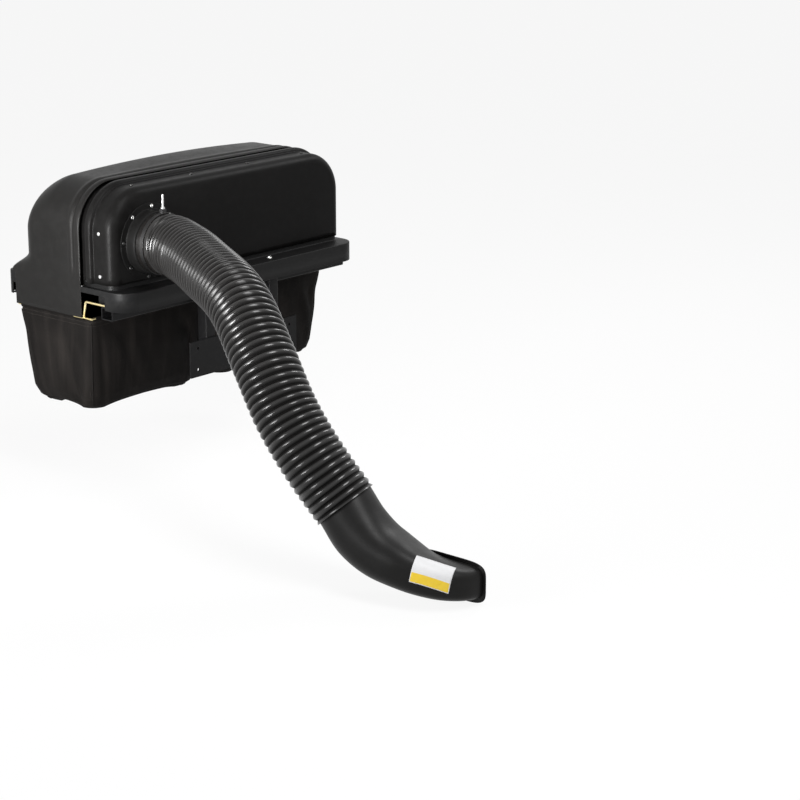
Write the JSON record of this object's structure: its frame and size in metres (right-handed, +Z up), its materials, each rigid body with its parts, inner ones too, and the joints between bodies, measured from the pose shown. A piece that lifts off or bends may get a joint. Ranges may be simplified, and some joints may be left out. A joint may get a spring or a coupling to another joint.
{
  "type": "twin bagger",
  "caption": "Grass collector for a riding mower: two-part moulded hood with a hinged lid over hanging cloth bags, fed by a ribbed duct from a moulded boot.",
  "frame": {"origin": "middle of the front face of the mount plate, where the support frame is bolted to the mower", "axes": "+Z up, +X to the machine's left, +Y to the machine's rear"},
  "size_m": [1.3256, 2.0253, 1.0054],
  "materials": {
    "bag_frame_left": "yellow zinc plated wire",
    "bag_frame_right": "yellow zinc plated wire",
    "bag_handle_left": "pale webbing",
    "bag_handle_right": "pale webbing",
    "bag_left": "black woven cloth",
    "bag_right": "black woven cloth",
    "boot_label": "plain label",
    "collar_screw_1": "zinc plated",
    "collar_screw_2": "zinc plated",
    "collar_screw_3": "zinc plated",
    "collar_screw_4": "zinc plated",
    "collar_screw_5": "zinc plated",
    "collar_screw_6": "zinc plated",
    "collar_screw_7": "zinc plated",
    "collar_screw_8": "zinc plated",
    "cross_tube": "semi-gloss black paint",
    "discharge_boot": "satin moulded black",
    "duct_clamp_band": "zinc plated",
    "duct_clamp_bolt": "zinc plated",
    "duct_hose": "glossy black ribbed plastic",
    "front_hood": "satin moulded black",
    "front_ledge": "semi-gloss black paint",
    "front_ledge_bolt_left": "zinc plated",
    "front_ledge_bolt_right": "zinc plated",
    "hinge_leaf_lower": "semi-gloss black paint",
    "hinge_leaf_upper": "semi-gloss black paint",
    "hinge_pin": "zinc plated",
    "hood_bracket_left": "semi-gloss black paint",
    "hood_bracket_right": "semi-gloss black paint",
    "inlet_collar": "satin moulded black",
    "mount_plate": "semi-gloss black paint",
    "rear_beam": "semi-gloss black paint",
    "rear_hood": "satin moulded black",
    "rear_ledge": "semi-gloss black paint",
    "rear_ledge_bolt_left": "zinc plated",
    "rear_ledge_bolt_right": "zinc plated",
    "side_screw_1": "zinc plated",
    "side_screw_2": "zinc plated",
    "side_screw_3": "zinc plated",
    "side_screw_4": "zinc plated",
    "spine_tube": "semi-gloss black paint",
    "top_screw_1": "zinc plated",
    "top_screw_2": "zinc plated",
    "top_screw_3": "zinc plated",
    "top_screw_4": "zinc plated",
    "top_stiffener": "semi-gloss black paint",
    "upright_left": "semi-gloss black paint",
    "upright_right": "semi-gloss black paint"
  },
  "bodies": {
    "main": {"bag_frame_left": "bag_frame_left", "bag_frame_right": "bag_frame_right", "bag_handle_left": "bag_handle_left", "bag_handle_right": "bag_handle_right", "bag_left": "bag_left", "bag_right": "bag_right", "boot_label": "boot_label", "collar_screw_1": "collar_screw_1", "collar_screw_2": "collar_screw_2", "collar_screw_3": "collar_screw_3", "collar_screw_4": "collar_screw_4", "collar_screw_5": "collar_screw_5", "collar_screw_6": "collar_screw_6", "collar_screw_7": "collar_screw_7", "collar_screw_8": "collar_screw_8", "cross_tube": "cross_tube", "discharge_boot": "discharge_boot", "duct_clamp_band": "duct_clamp_band", "duct_clamp_bolt": "duct_clamp_bolt", "duct_hose": "duct_hose", "front_hood": "front_hood", "front_ledge": "front_ledge", "front_ledge_bolt_left": "front_ledge_bolt_left", "front_ledge_bolt_right": "front_ledge_bolt_right", "hinge_leaf_lower": "hinge_leaf_lower", "hinge_pin": "hinge_pin", "hood_bracket_left": "hood_bracket_left", "hood_bracket_right": "hood_bracket_right", "inlet_collar": "inlet_collar", "mount_plate": "mount_plate", "rear_beam": "rear_beam", "rear_ledge": "rear_ledge", "rear_ledge_bolt_left": "rear_ledge_bolt_left", "rear_ledge_bolt_right": "rear_ledge_bolt_right", "side_screw_1": "side_screw_1", "side_screw_2": "side_screw_2", "side_screw_3": "side_screw_3", "side_screw_4": "side_screw_4", "spine_tube": "spine_tube", "top_screw_1": "top_screw_1", "top_screw_2": "top_screw_2", "top_screw_3": "top_screw_3", "top_screw_4": "top_screw_4", "top_stiffener": "top_stiffener", "upright_left": "upright_left", "upright_right": "upright_right"},
    "lid": {"rear_hood": "rear_hood", "hinge_leaf_upper": "hinge_leaf_upper"}
  },
  "joints": [
    {"name": "lid_hinge", "type": "hinge", "parent": "main", "child": "lid", "pos_m": [0, 0.176, 0.5823], "axis": [1, 0, 0], "range_deg": [0, 75]}
  ]
}
